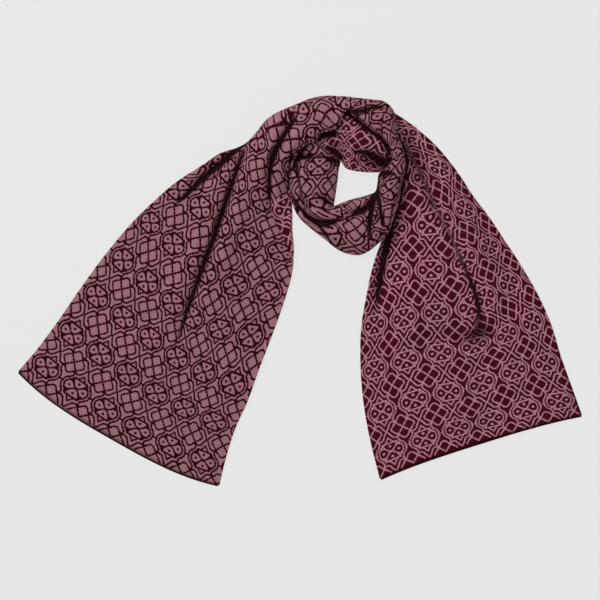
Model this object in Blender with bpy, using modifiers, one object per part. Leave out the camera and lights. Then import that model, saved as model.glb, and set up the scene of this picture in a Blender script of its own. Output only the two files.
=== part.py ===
"""A knitted scarf wound once into a neck loop and laid flat on a table.

The scarf is one long strip of cloth. Each stretch of it that shows is a wall of its own,
lofted through the rows of a table. A row is a line across the cloth. It holds the places
of the cloth's two edges and how the cloth stands up between them. A heap of hidden layers
fills the loop beneath them. Tables are in millimetres, and the model is in metres.
"""

import bpy
import bmesh
import numpy as np
from mathutils import Vector
from mathutils.bvhtree import BVHTree

# Driving dimensions, in millimetres
wall = 2.4
layer_gap = 0.8
curl_radius = 0.7
seam_gap = 1.0
flat_underside = 0.0
resting_blend = 2.0
bend_samples = 25
millimetre = 0.001

pink = (0.335, 0.130, 0.170, 1.0)
burgundy = (0.105, 0.012, 0.035, 1.0)
knit_roughness = 0.92

# Columns of the section tables. The two edges are x and y of the cloth's left and right
# edge, seen along the scarf. z is the height of the outer face at each edge, crown is the
# rise of the arch between them, and round says how far each edge rolls down (0 flat, 1 round).
section_columns = ("left_x", "left_y", "right_x", "right_y", "left_z", "right_z", "crown",
                   "left_round", "right_round")

# The left tail from its hem up to the shoulder, then the band across the top of the loop
left_half_rows = (
    (-386, -111, -114, -266, 0, 0, 0, 0.0, 0.0),
    (-362, -83, -107, -236, 0, 0, 0, 0.0, 0.0),
    (-335, -47, -93, -193, 0, 0, 0, 0.0, 0.0),
    (-300, 2, -74, -150, 0, 0, 1, 0.0, 0.0),
    (-263, 51, -57, -103, 0, 0, 2, 0.0, 0.0),
    (-226, 95, -40, -59, 0, 0, 3, 0.0, 0.0),
    (-196, 126, -25, -17, 0, 0, 5, 0.1, 0.0),
    (-165, 152, -14, 26, 0, 0, 7, 0.3, 0.0),
    (-133, 173, -11, 58, 1, 0, 10, 0.6, 0.0),
    (-107, 190, -12, 86, 2, 0, 13, 0.8, 0.0),
    (-88, 195, -12, 110, 4, 1, 15, 0.9, 0.0),
    (-73, 203, -14, 134, 5, 2, 17, 1.0, 0.1),
    (-59, 219, -14, 156, 6, 4, 19, 1.0, 0.5),
    (-48, 233, -12, 177, 7, 11, 19, 1.0, 0.9),
    (-35, 243, -4, 193, 8, 20, 17, 1.0, 1.0),
    (-18, 251, 7, 203, 8, 22, 17, 1.0, 1.0),
    (-1, 258, 20, 209, 9, 24, 16, 1.0, 1.0),
    (17, 265, 29, 219, 9, 25, 15, 1.0, 1.0),
    (36, 268, 42, 221, 9, 26, 12, 1.0, 1.0),
    (53, 267, 54, 224, 9, 25, 10, 1.0, 1.0),
    (61, 267, 61, 230, 9, 25, 9, 1.0, 1.0),
)
# The loop from its top right corner, down the right side, round the front and up the left
loop_rows = (
    (62, 267, 63, 249, 10, 24, 10, 1.0, 0.7),
    (79, 265, 73, 241, 11, 31, 9, 1.0, 0.6),
    (97, 263, 86, 232, 12, 32, 10, 1.0, 0.6),
    (113, 261, 100, 222, 12, 31, 11, 1.0, 0.6),
    (124, 254, 111, 214, 12, 29, 12, 1.0, 0.6),
    (131, 242, 117, 205, 13, 27, 12, 0.9, 0.5),
    (132, 228, 122, 196, 14, 25, 11, 0.8, 0.5),
    (135, 213, 125, 187, 15, 23, 11, 0.8, 0.6),
    (141, 198, 126, 177, 14, 20, 15, 1.0, 0.8),
    (145, 183, 125, 168, 14, 14, 20, 1.0, 1.0),
    (145, 169, 114, 160, 13, 8, 26, 1.0, 1.0),
    (142, 154, 107, 152, 13, 6, 27, 1.0, 1.0),
    (139, 139, 106, 141, 12, 6, 27, 1.0, 1.0),
    (136, 121, 106, 133, 12, 6, 26, 1.0, 1.0),
    (129, 99, 105, 130, 12, 6, 25, 1.0, 1.0),
    (119, 75, 102, 129, 11, 6, 23, 1.0, 1.0),
    (107, 64, 99, 128, 10, 6, 22, 1.0, 1.0),
    (96, 55, 94, 126, 9, 5, 21, 1.0, 1.0),
    (82, 49, 86, 126, 6, 5, 22, 1.0, 1.0),
    (65, 51, 75, 125, 4, 5, 23, 1.0, 1.0),
    (50, 58, 64, 122, 4, 5, 23, 1.0, 1.0),
    (34, 71, 56, 119, 4, 5, 22, 1.0, 1.0),
    (17, 84, 50, 116, 5, 5, 21, 1.0, 1.0),
    (1, 100, 48, 115, 8, 5, 19, 1.0, 1.0),
    (-9, 121, 48, 121, 12, 5, 16, 1.0, 1.0),
    (-11, 132, 50, 136, 13, 5, 15, 1.0, 1.0),
    (-10, 147, 52, 152, 13, 5, 14, 1.0, 1.0),
    (-7, 163, 54, 166, 13, 5, 13, 1.0, 1.0),
    (-2, 178, 56, 180, 13, 5, 9, 1.0, 1.0),
    (6, 190, 47, 190, 13, 8, 5, 1.0, 1.0),
    (12, 201, 37, 202, 13, 10, 4, 1.0, 1.0),
)
# The strip of the loop's inner side that shows the back of the cloth
inner_top_rows = (
    (60, 243, 76, 243, 31, 21, 0, 0.0, 0.0),
    (53, 237, 94, 233, 37, 21, 0, 0.0, 0.0),
    (51, 229, 110, 219, 37, 21, 2, 0.0, 0.0),
    (50, 219, 119, 207, 35, 20, 3, 0.0, 0.0),
    (30, 213, 125, 193, 19, 19, 5, 0.3, 0.0),
    (23, 208, 125, 183, 18, 18, 6, 0.5, 0.0),
    (36, 198, 124, 173, 18, 14, 6, 0.8, 0.0),
    (54, 184, 119, 166, 14, 8, 6, 1.0, 0.0),
)
# The right tail from its hem up to where it comes out from under the loop
right_half_rows = (
    (111, -259, 387, -169, 0, 0, 0, 0.0, 0.0),
    (97, -201, 373, -132, 0, 0, 0, 0.0, 0.0),
    (88, -148, 358, -90, 0, 0, 0, 0.0, 0.0),
    (84, -98, 346, -47, 0, 0, 1, 0.0, 0.0),
    (85, -51, 329, -7, 0, 0, 2, 0.0, 0.0),
    (91, -9, 306, 32, 0, 0, 3, 0.0, 0.0),
    (100, 33, 281, 70, 0, 0, 4, 0.2, 0.0),
    (110, 62, 259, 103, 0, 0, 5, 0.4, 0.1),
    (117, 84, 238, 130, 2, 0, 5, 0.5, 0.2),
    (124, 111, 219, 159, 4, 0, 5, 0.5, 0.3),
    (128, 139, 201, 183, 5, 0, 4, 0.5, 0.4),
    (130, 166, 183, 205, 5, 1, 4, 0.5, 0.5),
    (128, 194, 164, 223, 5, 1, 4, 0.5, 0.5),
    (123, 217, 147, 236, 5, 2, 3, 0.4, 0.4),
    (117, 232, 131, 243, 5, 3, 2, 0.3, 0.3),
)

# The left tail's right selvedge curls up, and in the middle rows it has turned over and
# shows the back. at is the row, turn the angle in degrees, flap the length turned over.
selvedge_columns = ("at", "turn", "flap")
left_tail_selvedge = (
    (0, 24, 2),
    (6, 24, 2),
    (7, 60, 3),
    (8, 178, 4),
    (9, 180, 15),
    (10, 180, 26),
    (11, 165, 15),
    (11.6, 80, 5),
    (12, 30, 2),
    (14, 24, 2),
)
selvedges = {"left_tail": left_tail_selvedge}
resting = ("left_tail", "right_tail")

# How far the hem's middle stands out from the straight line between its corners.
left_hem_bow = 17.0
right_hem_bow = -7.0
hem_rows_bowed = 3

# Columns of the fold tables. Each fold is a soft line from start through middle to end. The
# widths are those of its two flanks, and a height below zero is a trough.
fold_columns = ("start_x", "start_y", "middle_x", "middle_y", "end_x", "end_y",
                "left_width", "right_width", "start_height", "middle_height", "end_height")
left_half_folds = (
    (-84, 192, -123, 162, -163, 125, 7, 5, -5, -8, 0),
    (-98, 196, -135, 167, -172, 131, 8, 5, 2, 4, 1),
    (-80, 188, -119, 72, -170, -80, 12, 10, -7, -12, 0),
    (-60, 180, -99, 66, -148, -70, 12, 18, 5, 8, 0),
    (-102, 170, -138, 78, -190, -60, 18, 12, 4, 6, 0),
    (-10, 240, -35, 192, -43, 118, 8, 10, -4, -13, -3),
    (-22, 216, -48, 180, -58, 120, 10, 8, 2, 4, 2),
    (-120, 40, -95, -20, -70, -80, 24, 24, 2, 4, 0),
    (-250, -20, -215, -80, -190, -150, 34, 34, 1, 3, 0),
    (-300, -60, -280, -100, -255, -140, 26, 26, 0, 2, 0),
)
right_half_folds = (
    (128, 95, 112, 30, 91, -54, 8, 6, -6, -9, 0),
    (119, 84, 100, 20, 88, -46, 7, 7, 3, 7, 0),
    (153, 193, 187, 114, 223, 40, 8, 8, -5, -4, -3),
    (221, 44, 246, -30, 211, -70, 12, 7, -2, -11, -2),
    (168, 206, 232, 86, 288, -54, 20, 9, 5, 11, 0),
    (216, -84, 240, -90, 262, -72, 9, 9, 2, 3, 1),
    (150, 60, 160, -20, 165, -110, 28, 24, 2, 5, 0),
    (200, -110, 215, -160, 240, -200, 30, 30, 0, 2, 0),
    (300, -20, 315, -70, 330, -120, 22, 22, 1, 3, 0),
)
loop_folds = (
    (66, 252, 82, 250, 100, 254, 7, 7, -2, -4, 0),
    (0, 106, 22, 94, 54, 97, 5, 6, -4, -9, -2),
    (60, 97, 80, 109, 103, 129, 5, 6, -2, -7, -5),
    (104, 129, 99, 104, 95, 76, 5, 5, -4, -6, -2),
    (108, 128, 110, 111, 114, 92, 4, 5, -3, -5, -1),
    (-3, 180, 1, 138, 6, 112, 5, 5, -2, -4, -5),
    (31, 128, 42, 122, 53, 113, 5, 5, -1, -3, -2),
)
inner_top_folds = (
    (84, 190, 106, 187, 123, 176, 5, 8, -2, -5, -2),
)

# The heap of hidden layers follows the loop: a point on its outer and on its inner edge,
# row by row all the way round.
heap_columns = ("outer_x", "outer_y", "inner_x", "inner_y")
heap_rows = (
    (-32, 236, 36, 192),
    (17, 260, 46, 204),
    (62, 262, 66, 200),
    (108, 256, 96, 192),
    (122, 238, 110, 182),
    (131, 196, 119, 166),
    (133, 160, 114, 152),
    (128, 126, 113, 136),
    (111, 86, 100, 116),
    (84, 57, 86, 115),
    (54, 64, 64, 112),
    (22, 89, 49, 108),
    (3, 116, 40, 121),
    (0, 150, 44, 152),
    (-18, 190, 46, 172),
)
# Across the heap, from either edge inwards: how far in, and how high the layers stand there
heap_step_columns = ("inset", "height")
heap_steps = (
    (0.0, 2.2),
    (0.7, 3.0),
    (2.2, 3.2),
    (2.9, 5.4),
    (4.8, 6.2),
    (5.4, 8.4),
    (8.0, 9.6),
)
heap_top = 16.0
heap_least_height = 1.2
heap_stepped_share = 0.4
heap_quads = 46

# Which rows of a table each stretch covers, and its quads across and along
stretch_columns = ("name", "first_row", "last_row", "across", "along")
left_half_stretches = (
    ("left_tail", 0, 16, 23, 38),
    ("top_band", 16, 20, 12, 8),
)
loop_stretches = (
    ("right_column", 0, 13, 14, 22),
    ("front_bowl", 13, 24, 16, 22),
    ("inner_left", 24, 30, 12, 11),
)
inner_top_stretches = (
    ("inner_top", 0, 7, 14, 12),
)
right_half_stretches = (
    ("right_tail", 0, 14, 22, 36),
)
curl_quads = 3
flap_quads = 3


def clear_scene():
    """Remove what the scene holds at the start."""
    for old in list(bpy.data.objects):
        bpy.data.objects.remove(old, do_unlink=True)


def make_collection(name):
    """Make the collection that holds the scarf."""
    group = bpy.data.collections.new(name)
    bpy.context.scene.collection.children.link(group)
    return group


def make_material(name, colour):
    """Make a matt knit material of one colour."""
    material = bpy.data.materials.new(name)
    material.use_nodes = True
    shader = material.node_tree.nodes["Principled BSDF"]
    shader.inputs["Base Color"].default_value = colour
    shader.inputs["Roughness"].default_value = knit_roughness
    shader.inputs["Metallic"].default_value = 0.0
    return material


def named(columns, row):
    """Give the values of a table's row, or of many rows at once, their columns' names."""
    return dict(zip(columns, np.transpose(row)))


def pair(value, x_name, y_name):
    """Put the x and y values of a place together."""
    return np.stack([value[x_name], value[y_name]], axis=-1)


def smooth_rows(knots, values, places):
    """Read a table between its rows, along a smooth curve through every row."""
    slopes = np.gradient(values, knots, axis=0)
    cell = np.clip(np.searchsorted(knots, places, side="right") - 1, 0, len(knots) - 2)
    span = (knots[cell + 1] - knots[cell])[:, None]
    f = (places - knots[cell])[:, None] / span
    a = (1 + 2 * f) * (1 - f) ** 2 * values[cell]
    b = f * (1 - f) ** 2 * span * slopes[cell]
    c = f ** 2 * (3 - 2 * f) * values[cell + 1]
    d = f ** 2 * (f - 1) * span * slopes[cell + 1]
    return a + b + c + d


def row_distances(left, right):
    """Return how far each row lies along the middle between the two edges."""
    middle = 0.5 * (left + right)
    steps = np.linalg.norm(np.diff(middle, axis=0), axis=1)
    return np.concatenate([[0.0], np.cumsum(steps)])


def fold_relief(x, y, folds):
    """Add up the folds' heights at each point.

    A fold is a bent line. Its height falls off with the distance from that line, as a bell
    curve with one width on each flank.
    """
    relief = np.zeros_like(x)
    for fold in folds:
        value = named(fold_columns, fold)
        start = pair(value, "start_x", "start_y")
        middle = pair(value, "middle_x", "middle_y")
        end = pair(value, "end_x", "end_y")
        bend = 2 * middle - 0.5 * (start + end)
        t = np.linspace(0.0, 1.0, bend_samples)[:, None]
        line = (1 - t) ** 2 * start + 2 * t * (1 - t) * bend + t ** 2 * end
        three_heights = (value["start_height"], value["middle_height"], value["end_height"])
        heights = np.interp(t[:, 0], (0.0, 0.5, 1.0), three_heights)
        best = np.full(x.shape, np.inf)
        height = np.zeros_like(x)
        width = np.ones_like(x)
        for i in range(bend_samples - 1):
            step = line[i + 1] - line[i]
            px = x - line[i, 0]
            py = y - line[i, 1]
            along = np.clip((px * step[0] + py * step[1]) / step.dot(step), 0.0, 1.0)
            distance = np.hypot(px - along * step[0], py - along * step[1])
            side = step[0] * py - step[1] * px
            nearer = distance < best
            best = np.where(nearer, distance, best)
            height = np.where(nearer, heights[i] + along * (heights[i + 1] - heights[i]), height)
            flank = np.where(side > 0, value["left_width"], value["right_width"])
            width = np.where(nearer, flank, width)
        relief += height * np.exp(-(best / width) ** 2)
    return relief


def keep_above(z, floor):
    """Round off what would sink below the floor, and leave the rest as it is."""
    rise = z - floor
    eased = (rise + resting_blend) ** 2 / (4 * resting_blend)
    sunk = rise < -resting_blend
    return floor + np.where(rise > resting_blend, rise, np.where(sunk, 0.0, eased))


def surface_normals(points):
    """Return the unit normals of a grid of points."""
    across = np.gradient(points, axis=1)
    along = np.gradient(points, axis=0)
    normal = np.cross(across, along)
    return normal / np.linalg.norm(normal, axis=2, keepdims=True)


def section_points(table, knots, places, across, folds, bow):
    """Work out the outer face of the cloth, as a grid of points along and across it.

    A section is a straight line between the two edges plus an arch: s runs from 0 to 1
    across it, a round edge follows a half circle, and a flat edge follows a low wave. The
    hem's bow is flat in its middle, falls off to both corners, and fades along the cloth.
    """
    columns = named(section_columns, smooth_rows(knots, table, places))
    row = {name: column[:, None] for name, column in columns.items()}
    s = np.linspace(0.0, 1.0, across + 1)[None, :]
    mix = s * s * (3 - 2 * s)
    roundness = np.clip(row["left_round"] * (1 - mix) + row["right_round"] * mix, 0.0, 1.0)
    t = (1 - roundness) * s + roundness * 0.5 * (1 - np.cos(np.pi * s))
    arch = (1 - roundness) * np.sin(np.pi * s) ** 2 + roundness * np.sin(np.pi * s)
    x = row["left_x"] * (1 - t) + row["right_x"] * t
    y = row["left_y"] * (1 - t) + row["right_y"] * t
    z = row["left_z"] * (1 - t) + row["right_z"] * t + row["crown"] * arch
    first = named(section_columns, table[0])
    hem = pair(first, "right_x", "right_y") - pair(first, "left_x", "left_y")
    outward = np.array([hem[1], -hem[0]]) / np.linalg.norm(hem)
    fade = np.clip(1 - places / knots[hem_rows_bowed], 0.0, 1.0)[:, None] ** 2
    swell = bow * (1 - np.abs(2 * t - 1) ** 3) * fade
    points = np.stack([x + outward[0] * swell, y + outward[1] * swell, z], axis=2)
    relief = fold_relief(points[:, :, 0], points[:, :, 1], folds)
    return points + surface_normals(points) * relief[:, :, None]


def stretch_points(rows, folds, stretch, bow):
    """Work out one stretch of a table, a little short of its neighbours at the seams."""
    table = np.array(rows, float)
    edges = named(section_columns, table)
    knots = row_distances(pair(edges, "left_x", "left_y"), pair(edges, "right_x", "right_y"))
    first, last = stretch["first_row"], stretch["last_row"]
    start = knots[first] + (0.5 * seam_gap if first else 0.0)
    end = knots[last] - (0.5 * seam_gap if last < len(table) - 1 else 0.0)
    places = np.linspace(start, end, stretch["along"] + 1)
    step = places[1] - places[0]
    wider = np.concatenate([[start - step], places, [end + step]])
    points = section_points(table, knots, wider, stretch["across"], folds, bow)[1:-1]
    if stretch["name"] in resting:
        points[:, :, 2] = wall + keep_above(points[:, :, 2], flat_underside)
    return points, np.interp(places, knots, np.arange(len(knots)))


def turn_selvedge(points, at, rows):
    """Add the strip along the right edge that curls up or turns over.

    It first follows an arc of the curl radius through the turn angle. It then runs straight
    for the length of the flap, and stays clear of the cloth that it lies on.
    """
    value = named(selvedge_columns, rows)
    turn = np.radians(np.interp(at, value["at"], value["turn"]))
    flap = np.interp(at, value["at"], value["flap"])
    edge = points[:, -1, :]
    outward = edge - points[:, -2, :]
    outward[:, 2] = 0.0
    outward /= np.linalg.norm(outward, axis=1, keepdims=True)
    inset = np.linalg.norm(points[:, ::-1, 0:2] - edge[:, None, 0:2], axis=2)
    under = points[:, ::-1, 2]
    strip = []
    for i in range(1, curl_quads + flap_quads + 1):
        angle = turn * min(i / curl_quads, 1.0)
        beyond = flap * max(i - curl_quads, 0) / flap_quads
        out = curl_radius * np.sin(angle) + beyond * np.cos(turn)
        point = edge + outward * out[:, None]
        point[:, 2] += curl_radius * (1 - np.cos(angle)) + beyond * np.sin(turn)
        clear = np.array([np.interp(-o, d, z) for o, d, z in zip(out, inset, under)])
        clear += 2 * curl_radius * np.clip(-out, 0.0, 1.0)
        point[:, 2] = np.where(out < 0, np.maximum(point[:, 2], clear), point[:, 2])
        strip.append(point)
    return np.concatenate([points, np.stack(strip, axis=1)], axis=1)


def grid_object(name, points, material, group):
    """Make a mesh grid and move its vertices onto the given points."""
    along, across = points.shape[0], points.shape[1]
    mesh = bpy.data.meshes.new(name)
    shape = bmesh.new()
    bmesh.ops.create_grid(shape, x_segments=across - 1, y_segments=along - 1, size=0.5)
    shape.verts.ensure_lookup_table()
    for i, vertex in enumerate(shape.verts):
        vertex.co = Vector(points[i // across, i % across] * millimetre)
    shape.to_mesh(mesh)
    shape.free()
    made = bpy.data.objects.new(name, mesh)
    mesh.materials.append(material)
    mesh.shade_smooth()
    group.objects.link(made)
    return made


def make_stretches(rows, folds, stretches, material, group, bow=0.0):
    """Make the stretches of one table as walls of cloth."""
    made = []
    for values in stretches:
        stretch = dict(zip(stretch_columns, values))
        name = stretch["name"]
        points, at = stretch_points(rows, folds, stretch, bow)
        if name in selvedges:
            points = turn_selvedge(points, at, selvedges[name])
        cloth = grid_object(name, points, material, group)
        solid = cloth.modifiers.new("cloth wall", "SOLIDIFY")
        solid.thickness = wall * millimetre
        solid.offset = -1.0
        made.append(cloth)
    return made


def cover_heights(walls, x, y):
    """Return the height of the lowest wall above each point of a grid."""
    bpy.context.view_layer.update()
    depsgraph = bpy.context.evaluated_depsgraph_get()
    trees = [BVHTree.FromObject(cover, depsgraph) for cover in walls]
    up = Vector((0.0, 0.0, 1.0))
    heights = np.zeros_like(x)
    for place in np.ndindex(x.shape):
        low = Vector((x[place] * millimetre, y[place] * millimetre, -1.0))
        hits = [tree.ray_cast(low, up)[0] for tree in trees]
        heights[place] = min((hit.z / millimetre for hit in hits if hit), default=0.0)
    return heights


def lowest_nearby(heights):
    """Return the lowest height among each point of a ring and its neighbours."""
    lowest = heights.copy()
    padded = np.pad(heights, ((0, 0), (1, 1)), mode="edge")
    for along in (-1, 0, 1):
        for across in (0, 1, 2):
            near = np.roll(padded, along, axis=0)[:, across:across + heights.shape[1]]
            lowest = np.minimum(lowest, near)
    return lowest


def make_heap(name, walls, material, group):
    """Make the hidden layers of the loop as one rounded ring under the walls.

    From both edges its top rises in rounded steps, one for each hidden layer. It stays
    just under the walls that cover it, and its underside is flat.
    """
    table = np.array(heap_rows, float)
    ring = np.vstack([table[-2:], table, table[:3]])
    edges = named(heap_columns, ring)
    knots = row_distances(pair(edges, "outer_x", "outer_y"), pair(edges, "inner_x", "inner_y"))
    places = np.linspace(knots[2], knots[len(table) + 2], heap_quads + 1)[:-1]
    row = named(heap_columns, smooth_rows(knots, ring, places))
    outer = pair(row, "outer_x", "outer_y")[:, None, :]
    inner = pair(row, "inner_x", "inner_y")[:, None, :]
    width = np.linalg.norm(inner - outer, axis=2)
    step = named(heap_step_columns, heap_steps)
    squeeze = np.minimum(1.0, heap_stepped_share * width / step["inset"][-1])
    near = squeeze * step["inset"] / width
    half = np.full_like(width, 0.5)
    s = np.concatenate([near, half, 1 - near[:, ::-1]], axis=1)[:, :, None]
    plan = outer * (1 - s) + inner * s
    profile = np.concatenate([step["height"], [heap_top], step["height"][::-1]])
    cover = lowest_nearby(cover_heights(walls, plan[:, :, 0], plan[:, :, 1]))
    top = np.maximum(np.minimum(profile, cover - layer_gap), heap_least_height)
    upper = np.concatenate([plan, top[:, :, None]], axis=2)
    lower = np.concatenate([plan, np.zeros_like(plan[:, :, 0:1])], axis=2)[:, [-1, 0], :]
    sections = np.concatenate([upper, lower], axis=1) * millimetre
    shape = bmesh.new()
    loops = [[shape.verts.new(point) for point in section] for section in sections]
    for here, after in zip(loops, loops[1:] + loops[:1]):
        for i in range(len(here)):
            j = (i + 1) % len(here)
            shape.faces.new((here[i], here[j], after[j], after[i]))
    bmesh.ops.recalc_face_normals(shape, faces=shape.faces)
    mesh = bpy.data.meshes.new(name)
    shape.to_mesh(mesh)
    shape.free()
    mesh.materials.append(material)
    made = bpy.data.objects.new(name, mesh)
    group.objects.link(made)
    return made


def main():
    """Build the scarf."""
    clear_scene()
    group = make_collection("knitted_scarf")
    front = make_material("pink ground knit", pink)
    back = make_material("burgundy ground knit", burgundy)
    walls = make_stretches(left_half_rows, left_half_folds, left_half_stretches, front, group,
                           bow=left_hem_bow)
    walls += make_stretches(loop_rows, loop_folds, loop_stretches, front, group)
    walls += make_stretches(inner_top_rows, inner_top_folds, inner_top_stretches, back, group)
    walls += make_stretches(right_half_rows, right_half_folds, right_half_stretches, back, group,
                            bow=right_hem_bow)
    make_heap("hidden_layers", walls, back, group)


main()
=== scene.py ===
import bpy
import math
import time
import numpy as np
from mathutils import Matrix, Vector
from mathutils.bvhtree import BVHTree


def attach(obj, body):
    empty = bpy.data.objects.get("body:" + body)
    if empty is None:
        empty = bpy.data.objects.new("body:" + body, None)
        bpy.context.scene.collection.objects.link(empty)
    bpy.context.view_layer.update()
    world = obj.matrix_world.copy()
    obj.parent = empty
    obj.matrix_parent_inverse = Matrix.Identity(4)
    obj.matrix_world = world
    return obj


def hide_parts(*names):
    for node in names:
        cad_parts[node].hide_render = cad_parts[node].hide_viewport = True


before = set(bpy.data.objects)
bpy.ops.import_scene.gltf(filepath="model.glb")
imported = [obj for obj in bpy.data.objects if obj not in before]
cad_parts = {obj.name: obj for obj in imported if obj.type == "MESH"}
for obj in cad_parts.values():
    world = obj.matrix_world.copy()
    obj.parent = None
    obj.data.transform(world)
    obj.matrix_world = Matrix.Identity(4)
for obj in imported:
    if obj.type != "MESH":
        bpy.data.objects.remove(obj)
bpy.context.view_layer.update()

started = time.time()

# The scarf is one strip of two-colour double knit, 6 repeats wide. Tables are in millimetres.
cloth = {
    "thickness": 2.4,
    "repeatAcross": 48.0,
    "repeatAlong": 60.0,
    "stitchesAcross": 40,
    "stitchesAlong": 60,
    "edgeSteps": 5,
    # painted shade at the start of a hem, and how far it fades in
    "hemShade": 0.7,
    "hemShadeLength": 2.2,
    # how many rows of the table the rest on the floor takes to lift
    "liftRows": 1.5,
}
millimetre = 0.001
# a vector times this keeps only its x and y
level = (1.0, 1.0, 0.0)
# a photo pixel in millimetres, and the place in pixels of the frame's origin
photoPixel = 1.376
photoCentre = (299.8, 290.8)


# Millimetres in the frame from a place in photo pixels
def fromPhoto(pixelX, pixelY):
    return (pixelX - photoCentre[0]) * photoPixel, (photoCentre[1] - pixelY) * photoPixel


def report(words):
    print("[scarf] %s (%.1f s)" % (words, time.time() - started))


report("frame loaded")

sectionColumns = ("leftX", "leftY", "rightX", "rightY", "leftZ", "rightZ", "crown",
                  "leftRound", "rightRound")
foldColumns = ("x", "y", "height", "leftWidth", "rightWidth", "swallow", "shade")


def named(columns, rows):
    return dict(zip(columns, np.transpose(np.array(rows, float))))


# A table read between its rows: a cubic through every row, with slopes from its neighbours
def smoothRows(knots, values, places):
    slopes = np.gradient(values, knots, axis=0)
    cell = np.clip(np.searchsorted(knots, places, side="right") - 1, 0, len(knots) - 2)
    span = (knots[cell + 1] - knots[cell])[:, None]
    f = (places - knots[cell])[:, None] / span
    a = (1 + 2 * f) * (1 - f) ** 2 * values[cell]
    b = f * (1 - f) ** 2 * span * slopes[cell]
    c = f ** 2 * (3 - 2 * f) * values[cell + 1]
    d = f ** 2 * (f - 1) * span * slopes[cell + 1]
    return a + b + c + d


# How far each point of a line is from its start, along the line
def lineRun(line):
    steps = np.linalg.norm(np.diff(line, axis=0), axis=1)
    return np.concatenate([[0.0], np.cumsum(steps)])


# The run along the middles of the section rows
def rowDistances(rows):
    return lineRun(0.5 * (rows[:, 0:2] + rows[:, 2:4]))


# The same across every row of a grid of points
def acrossRun(points):
    steps = np.linalg.norm(np.diff(points, axis=1), axis=2)
    return np.concatenate([np.zeros((len(points), 1)), np.cumsum(steps, axis=1)], axis=1)


# The nearest place on a line at every point: how far away, on which side, and how far along
def lineDistance(x, y, line):
    best = np.full(x.shape, np.inf)
    side = np.zeros_like(x)
    along = np.zeros_like(x)
    for i in range(len(line) - 1):
        step = line[i + 1] - line[i]
        px = x - line[i, 0]
        py = y - line[i, 1]
        f = np.clip((px * step[0] + py * step[1]) / step.dot(step), 0.0, 1.0)
        distance = np.hypot(px - f * step[0], py - f * step[1])
        nearer = distance < best
        best = np.where(nearer, distance, best)
        side = np.where(nearer, np.sign(step[0] * py - step[1] * px), side)
        along = np.where(nearer, i + f, along)
    return best, side, along


# Rows as an array, where a short row's missing last columns are 0
def filled(columns, rows):
    return np.array([(*row, *[0] * (len(columns) - len(row))) for row in rows], float)


# A fold with nothing swallowed or shaded: each point is x, y and height
def ridge(leftWidth, rightWidth, *points):
    return tuple((x, y, height, leftWidth, rightWidth) for x, y, height in points)


# A line of painted shadow, a fold without height: each point is x, y and shade
def shadow(leftWidth, rightWidth, *points):
    return tuple((x, y, 0, leftWidth, rightWidth, 0, shade) for x, y, shade in points)


foldShape = {
    "samplesPerPoint": 12,
    "shadeSpread": 0.55,
    "shadeGain": 1.4,
    "jumpWidth": 0.7,
}


# A fold is a bell curve across a smooth line through its points, with one width on each
# flank: height * exp(-(distance / width)^2). A crease also swallows cloth: the pattern jumps
# by that much within jumpWidth of the line, by the place along the straight line between the
# fold's ends. Its shade, a narrower bell, is painted shade: it darkens the colour for the light
# lost in a slit finer than the mesh.
def foldRelief(x, y, folds):
    relief = np.zeros_like(x)
    jump = np.zeros_like(x)
    shade = np.zeros_like(x)
    for fold in folds:
        table = filled(foldColumns, fold)
        run = lineRun(table[:, 0:2])
        count = foldShape["samplesPerPoint"] * len(table)
        line = smoothRows(run, table, np.linspace(0, run[-1], count))
        distance, side, along = lineDistance(x, y, line[:, 0:2])
        value = {name: np.interp(along, np.arange(len(line)), column)
                 for name, column in named(foldColumns, line).items()}
        width = np.where(side > 0, value["leftWidth"], value["rightWidth"])
        relief += value["height"] * np.exp(-(distance / width) ** 2)
        # painted shade: a narrower bell that darkens the colour, for the light lost in the slit
        shade += value["shade"] * np.exp(-(distance / (foldShape["shadeSpread"] * width)) ** 2)
        chord = table[-1, 0:2] - table[0, 0:2]
        chord /= chord.dot(chord)
        progress = np.maximum.accumulate((line[:, 0:2] - table[0, 0:2]) @ chord)
        place = (x - table[0, 0]) * chord[0] + (y - table[0, 1]) * chord[1]
        swallow = np.interp(place, progress, line[:, foldColumns.index("swallow")])
        jump += 0.5 * swallow * side * (1 - np.exp(-(distance / foldShape["jumpWidth"]) ** 2))
    return relief, jump, np.clip(foldShape["shadeGain"] * shade, 0.0, 1.0)


# Height above the table, which it never crosses: a parabola eases the turn
def keepAbove(z, blend=2.0):
    eased = (z + blend) ** 2 / (4 * blend)
    return np.where(z > blend, z, np.where(z < -blend, 0.0, eased))


def unit(vectors):
    return vectors / np.maximum(np.linalg.norm(vectors, axis=-1, keepdims=True), 1e-9)


def surfaceNormals(points):
    return unit(np.cross(np.gradient(points, axis=1), np.gradient(points, axis=0)))


# One face for every cell of a grid of vertex numbers
def gridFaces(grid):
    cells = [grid[:-1, :-1], grid[:-1, 1:], grid[1:, 1:], grid[1:, :-1]]
    return np.stack(cells, axis=2).reshape(-1, 4)


# Low waves of the cloth: a sum of sines of unlike lengths and directions
def softWaves(x, y, height, length, seed, count=7):
    rng = np.random.default_rng(seed)
    total = np.zeros_like(x)
    for i in range(count):
        turn = rng.uniform(0, math.pi)
        size = length * rng.uniform(0.6, 1.6)
        phase = rng.uniform(0, 2 * math.pi)
        total += np.sin((x * math.cos(turn) + y * math.sin(turn)) * 2 * math.pi / size + phase)
    return height * total / count ** 0.5


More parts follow.
